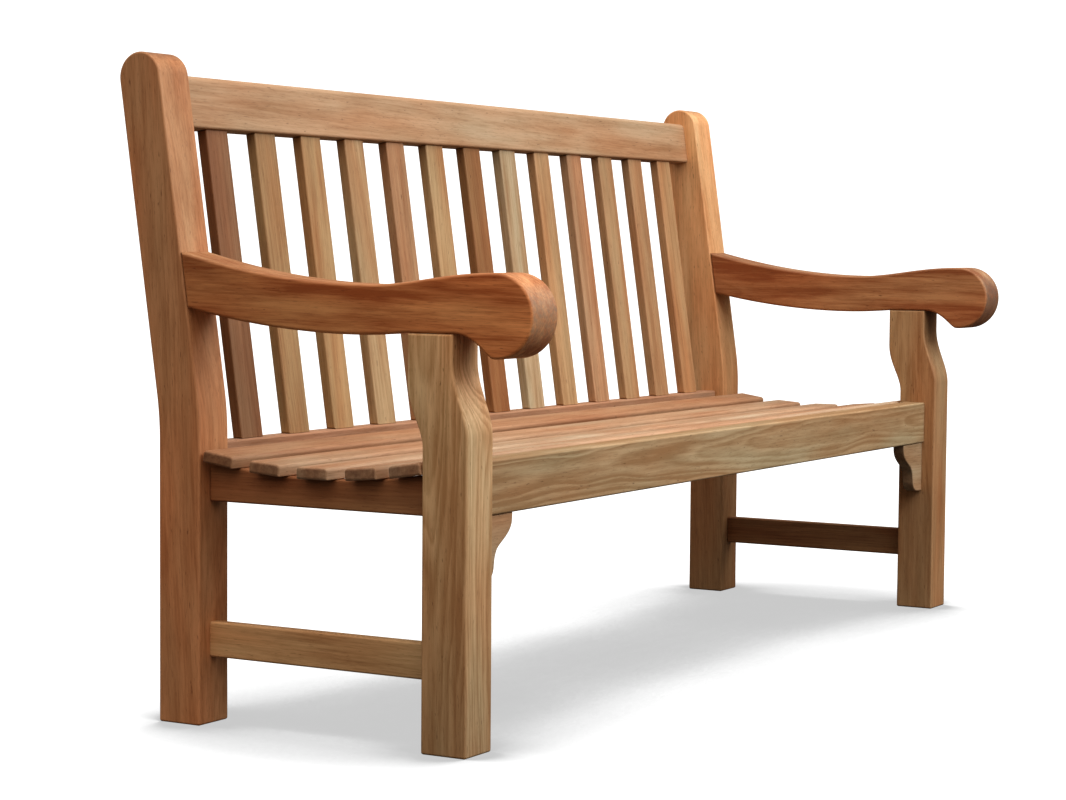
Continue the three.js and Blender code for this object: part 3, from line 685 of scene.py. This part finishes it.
def teak(name, pale, dark, end_grain=END_GRAIN, mottle=0.6):
    """Planed and oiled teak: soft growth rings, streaks and pores that run along the log.

    mottle is how strongly the paler and darker patches show."""
    n = Nodes(name)
    grain = n.attribute("grain").outputs["Vector"]
    tone_and_painted_light = n.attribute("tone_and_painted_light").outputs["Vector"]
    end, edge_middle, figure = n.parts(n.attribute("surface").outputs["Vector"])

    def pattern(name):
        along, across, detail, roughness = PATTERNS[name]
        stretched = n.vector_math("MULTIPLY", grain, (along, across, across))
        return n.noise(stretched, 1.0, detail, roughness)

    # Growth rings about the pith. They wander, and their spacing and strength change.
    wander = n.math("MULTIPLY", pattern("wander"), RING_WANDER)
    ripple = n.math("MULTIPLY", pattern("ripple"), RING_RIPPLE)
    _, across, upward = n.parts(grain)
    radius = n.vector_math("LENGTH", n.vector(0.0, across, upward))
    radius = n.math("ADD", radius, n.math("ADD", wander, ripple))
    rings = n.math("DIVIDE", radius, RING_SPACING)
    spacing = n.noise(n.vector(0.0, 0.0, rings), 0.45, 1.0)
    rings = n.math("ADD", rings, n.math("MULTIPLY", spacing, 3.0))
    phase = n.math("FRACT", rings)
    late = n.math("MULTIPLY", n.ranged(phase, 0.1, 0.8), n.ranged(phase, 0.8, 1.0, 1.0, 0.0))
    strength = n.ranged(n.noise(n.vector(0.0, 0.0, rings), 0.21, 1.0), *USUAL, 0.25, 1.0)
    late = n.math("MULTIPLY", n.math("MULTIPLY", late, strength), figure)

    # Patches and streaks, from the broadest to the finest, and then the dark pores and flecks.
    blush, streak, fibre = pattern("blush"), pattern("streak"), pattern("fibre")
    shade = n.ranged(pattern("patch"), *USUAL, 0.0, mottle)
    for noise, amount in (
        (blush, 0.25 * mottle),
        (pattern("band"), 0.20),
        (streak, 0.22),
        (fibre, 0.10),
    ):
        shade = n.math("ADD", shade, n.ranged(noise, *USUAL, -amount, amount))
    shade = n.math("ADD", shade, n.math("MULTIPLY", late, LATE_WOOD), clamp=True)
    wood = n.mix(shade, pale, dark)
    wood = n.mix(1.0, wood, n.mix(n.ranged(blush, *USUAL), FRESH_HUE, RED_HUE), "MULTIPLY")
    pores = n.ranged(fibre, 0.58, 0.74)
    wood = n.mix(n.math("MULTIPLY", pores, PORE_DEPTH), wood, PORE_COLOUR)
    wood = n.mix(n.ranged(pattern("fleck"), 0.71, 0.80, 0.0, FLECK_DEPTH), wood, FLECK_COLOUR)

    # Rounded edges are made paler along their middles, and end grain is blotched with a colour of
    # its own.
    wood = n.mix(n.math("MULTIPLY", edge_middle, 0.18), wood, pale)
    blotch = n.noise(grain, 130.0, 3.0, 0.6)
    ends = n.math("MULTIPLY", n.ranged(end, 0.6, 1.0), n.ranged(blotch, *USUAL, 0.35, 0.8))
    wood = n.mix(ends, wood, end_grain)
    # The tint multiplies in each timber's tone together with painted light and shade.
    n.feed(n.shader.inputs["Base Color"], n.vector_math("MULTIPLY", wood, tone_and_painted_light))
    n.feed(n.shader.inputs["Roughness"], n.ranged(streak, 0.25, 0.75, 0.50, 0.66))
    n.shader.inputs["Specular IOR Level"].default_value = 0.4
    height = n.math("ADD", n.math("MULTIPLY", streak, 0.5), n.math("MULTIPLY", pores, -0.6))
    n.feed(n.shader.inputs["Normal"], n.bump(height, 0.3, 0.0006))
    return n.material


def brass(name):
    """A turned brass screw, a little tarnished."""
    n = Nodes(name)
    place = n.tree.nodes.new("ShaderNodeTexCoord").outputs["Object"]
    tarnish = n.noise(place, 450.0, 4.0, 0.6)
    n.feed(n.shader.inputs["Base Color"], n.mix(tarnish, colour(196, 160, 88), colour(112, 84, 44)))
    n.shader.inputs["Metallic"].default_value = 1.0
    n.feed(n.shader.inputs["Roughness"], n.ranged(tarnish, 0.2, 0.8, 0.25, 0.6))
    n.feed(n.shader.inputs["Normal"], n.bump(tarnish, 0.3, 0.0002))
    return n.material


ARM_END_GRAIN = (0.20, 0.175, 0.14, 1)  # greyed by the weather
ARM_MOTTLE = 1.0

# Each teak has the colour of its pale parts and of its dark ones.
MATERIALS = {
    "post": teak("teak_post", (0.62, 0.385, 0.215, 1), (0.39, 0.205, 0.095, 1)),
    "arm": teak(
        "teak_arm", (0.66, 0.350, 0.175, 1), (0.34, 0.125, 0.046, 1), ARM_END_GRAIN, ARM_MOTTLE,
    ),
    "rail": teak("teak_rail", (0.64, 0.415, 0.245, 1), (0.42, 0.235, 0.115, 1)),
    "back_slat": teak("teak_back_slat", (0.555, 0.372, 0.214, 1), (0.350, 0.194, 0.093, 1)),
    "seat_slat": teak("teak_seat_slat", (0.56, 0.395, 0.260, 1), (0.36, 0.210, 0.120, 1)),
    # Painted shade: the rails and bearers under the seat, and the stretchers, get a much darker copy
    # of the teak, for the shade under the seat.
    "under": teak("teak_under_painted_shade", (0.42, 0.220, 0.110, 1), (0.23, 0.100, 0.042, 1)),
    "peg": teak("teak_peg", (0.36, 0.180, 0.085, 1), (0.20, 0.085, 0.035, 1)),
    "screw": brass("brass_screw"),
}


# ---------------------------------------------------------------------------------------------
# Pegs and screws

def peg(node):
    """A turned teak peg whose rounded end stands just proud of the post."""
    low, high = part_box(node)
    tilt = -RAKE if "top" in node else 0.0
    turn = Matrix.Rotation(tilt, 3, "X") @ ALONG_Y
    steps = PEG_STEPS - 1
    outline = Outline()
    outline.arc((0, 0), PEG_RADIUS, 0, 2 * math.pi * steps / PEG_STEPS, steps)
    proud = Vector((0, math.cos(tilt), math.sin(tilt))) * PEG_PROUD
    place = (low + high) / 2 + proud
    timber(node, "peg", outline, PEG_LENGTH, turn, place, proud, ease=PEG_ROUND)


def pegs_and_screws():
    """A turned peg for each peg node. The screws keep their CAD shape, in brass."""
    for node in sorted(frame["nodes"]):
        if node.startswith("rail_peg_"):
            peg(node)
        if node.startswith("seat_screw_"):
            screw = frame["nodes"][node]
            screw.data.materials.clear()
            screw.data.materials.append(MATERIALS["screw"])


# ---------------------------------------------------------------------------------------------
# Studio

CAMERA_PLACE = Vector((-3.830, -2.061, 0.7054))
CAMERA_YAW = math.radians(59.77)  # from +Y towards +X
CAMERA_PITCH = math.radians(3.5)  # below the horizon
CAMERA_ROLL = math.radians(0.45)
CAMERA_LENS = 85.86  # in millimetres, as is the sensor
CAMERA_SENSOR = 36.0

# Each softbox: its name, its place, what it faces, its width, its height and its power in watts.
SOFTBOXES = (
    ("key", (0.3, -2.3, 2.1), (0, 0, 0.5), 2.6, 1.6, 41),
    ("rear", (0.4, 3.0, 2.2), (0, 0.3, 0.4), 3.0, 1.6, 16),
)
LAMP_COLOUR = (1.0, 1.04, 1.10)

# How the sky's strength runs with each part of a direction: the span, and the strength at its ends.
SKY_BY_HEIGHT = ("Z", 0.03, 1.0, 0.03, 1.66)
SKY_BY_DEPTH = ("Y", -0.3, 0.6, 1.10, 0.42)
SKY_BY_SIDE = ("X", -0.6, 0.6, 1.30, 0.85)
SKY_HUE_BY_HEIGHT = ("Z", 0.3, 1.0, 0.0, 1.0)
SKY_LOW = (1.0, 0.74, 0.56, 1)
SKY_HIGH = (0.90, 0.80, 0.74, 1)
BACKDROP_STRENGTH = 1.1
WHITE = (1, 1, 1, 1)
BLACK = (0, 0, 0, 1)

FLOOR_HALF = 60.0
FLOOR_GREY = (0.07, 0.07, 0.07, 1)
SHADOW_SAMPLES = 48
SHADOW_REACH = 0.55  # how near a thing has to be to shade the floor
FLOOR_GLOW = (0.66, 0.92, 0.51, 1.15)  # the span of openness, and the glow at its ends


def camera():
    """The camera, at the left of the bench and a little above the arms."""
    data = bpy.data.cameras.new("camera")
    data.lens = CAMERA_LENS
    data.sensor_width = CAMERA_SENSOR
    viewer = bpy.data.objects.new("camera", data)
    bpy.context.scene.collection.objects.link(viewer)
    cosine = math.cos(CAMERA_PITCH)
    forward = Vector((
        math.sin(CAMERA_YAW) * cosine,
        math.cos(CAMERA_YAW) * cosine,
        -math.sin(CAMERA_PITCH),
    ))
    right = Vector((math.cos(CAMERA_YAW), -math.sin(CAMERA_YAW), 0))
    up = right.cross(forward)
    rolled_right = right * math.cos(CAMERA_ROLL) + up * math.sin(CAMERA_ROLL)
    rolled_up = up * math.cos(CAMERA_ROLL) - right * math.sin(CAMERA_ROLL)
    turn = Matrix((rolled_right, rolled_up, -forward)).transposed()
    viewer.matrix_world = Matrix.Translation(CAMERA_PLACE) @ turn.to_4x4()
    bpy.context.scene.camera = viewer


def softbox(name, place, target, width, height, power):
    """A large soft lamp that faces its target and isn't seen itself."""
    data = bpy.data.lights.new(name, "AREA")
    data.shape = "RECTANGLE"
    data.size, data.size_y = width, height
    data.energy = power
    data.color = LAMP_COLOUR
    lamp = bpy.data.objects.new(name, data)
    bpy.context.scene.collection.objects.link(lamp)
    lamp.location = place
    lamp.rotation_euler = (Vector(target) - Vector(place)).to_track_quat("-Z", "Y").to_euler()
    lamp.visible_camera = False


def world():
    """Soft light from above, warmer low down and weaker from behind, before a white backdrop."""
    made = bpy.data.worlds.new("studio")
    made.use_nodes = True
    bpy.context.scene.world = made
    tree = made.node_tree
    soft = tree.nodes["Background"]
    direction = tree.nodes.new("ShaderNodeTexCoord").outputs["Generated"]
    parts = tree.nodes.new("ShaderNodeSeparateXYZ")
    tree.links.new(direction, parts.inputs[0])

    def ramp(part, low, high, to_low, to_high):
        node = tree.nodes.new("ShaderNodeMapRange")
        for socket, number in zip(node.inputs[1:5], (low, high, to_low, to_high)):
            socket.default_value = number
        tree.links.new(parts.outputs[part], node.inputs[0])
        return node.outputs[0]

    def product(first, second):
        node = tree.nodes.new("ShaderNodeMath")
        node.operation = "MULTIPLY"
        tree.links.new(first, node.inputs[0])
        tree.links.new(second, node.inputs[1])
        return node.outputs[0]

    strength = product(ramp(*SKY_BY_HEIGHT), ramp(*SKY_BY_DEPTH))
    strength = product(strength, ramp(*SKY_BY_SIDE))
    tree.links.new(strength, soft.inputs["Strength"])
    hue = tree.nodes.new("ShaderNodeMix")
    hue.data_type = "RGBA"
    hue.inputs[MIX_FIRST].default_value = SKY_LOW
    hue.inputs[MIX_SECOND].default_value = SKY_HIGH
    tree.links.new(ramp(*SKY_HUE_BY_HEIGHT), hue.inputs[0])
    tree.links.new(hue.outputs[MIX_RESULT], soft.inputs["Color"])
    white = tree.nodes.new("ShaderNodeBackground")
    white.inputs["Strength"].default_value = BACKDROP_STRENGTH
    white.inputs["Color"].default_value = WHITE
    seen = tree.nodes.new("ShaderNodeLightPath").outputs["Is Camera Ray"]
    mix = tree.nodes.new("ShaderNodeMixShader")
    tree.links.new(seen, mix.inputs[0])
    tree.links.new(soft.outputs[0], mix.inputs[1])
    tree.links.new(white.outputs[0], mix.inputs[2])
    tree.links.new(mix.outputs[0], tree.nodes["World Output"].inputs[0])


def floor():
    """A floor that the camera sees as white, but for a soft shadow close to the bench."""
    corners = [(x * FLOOR_HALF, y * FLOOR_HALF, 0) for x, y in ((-1, -1), (1, -1), (1, 1), (-1, 1))]
    mesh = bpy.data.meshes.new("floor")
    mesh.from_pydata(corners, [], [(0, 1, 2, 3)])
    ground = bpy.data.objects.new("floor", mesh)
    bpy.context.scene.collection.objects.link(ground)
    n = Nodes("floor")
    n.shader.inputs["Roughness"].default_value = 0.9
    n.shader.inputs["Specular IOR Level"].default_value = 0.0
    n.shader.inputs["Emission Color"].default_value = WHITE
    seen = n.tree.nodes.new("ShaderNodeLightPath").outputs["Is Camera Ray"]
    n.feed(n.shader.inputs["Base Color"], n.mix(seen, FLOOR_GREY, BLACK))
    openness = n.tree.nodes.new("ShaderNodeAmbientOcclusion")
    openness.samples = SHADOW_SAMPLES
    openness.inputs["Distance"].default_value = SHADOW_REACH
    glow = n.ranged(openness.outputs["AO"], *FLOOR_GLOW)
    n.feed(n.shader.inputs["Emission Strength"], n.math("MULTIPLY", seen, glow))
    mesh.materials.append(n.material)


def studio():
    """The sky, the floor, the lamps and how the picture is toned."""
    world()
    floor()
    for lamp in SOFTBOXES:
        softbox(*lamp)
    settings = bpy.context.scene.view_settings
    settings.view_transform = "Standard"
    settings.look = "Medium High Contrast"


# ---------------------------------------------------------------------------------------------
# The whole bench

camera()
studio()
for end in SIDES:
    back_post(end)
    front_post(end)
    arm(end)
    side_stretcher(end)
    corner_bracket(end)
long_rails()
back_slats()
seat_slats()
under_seat()
pegs_and_screws()
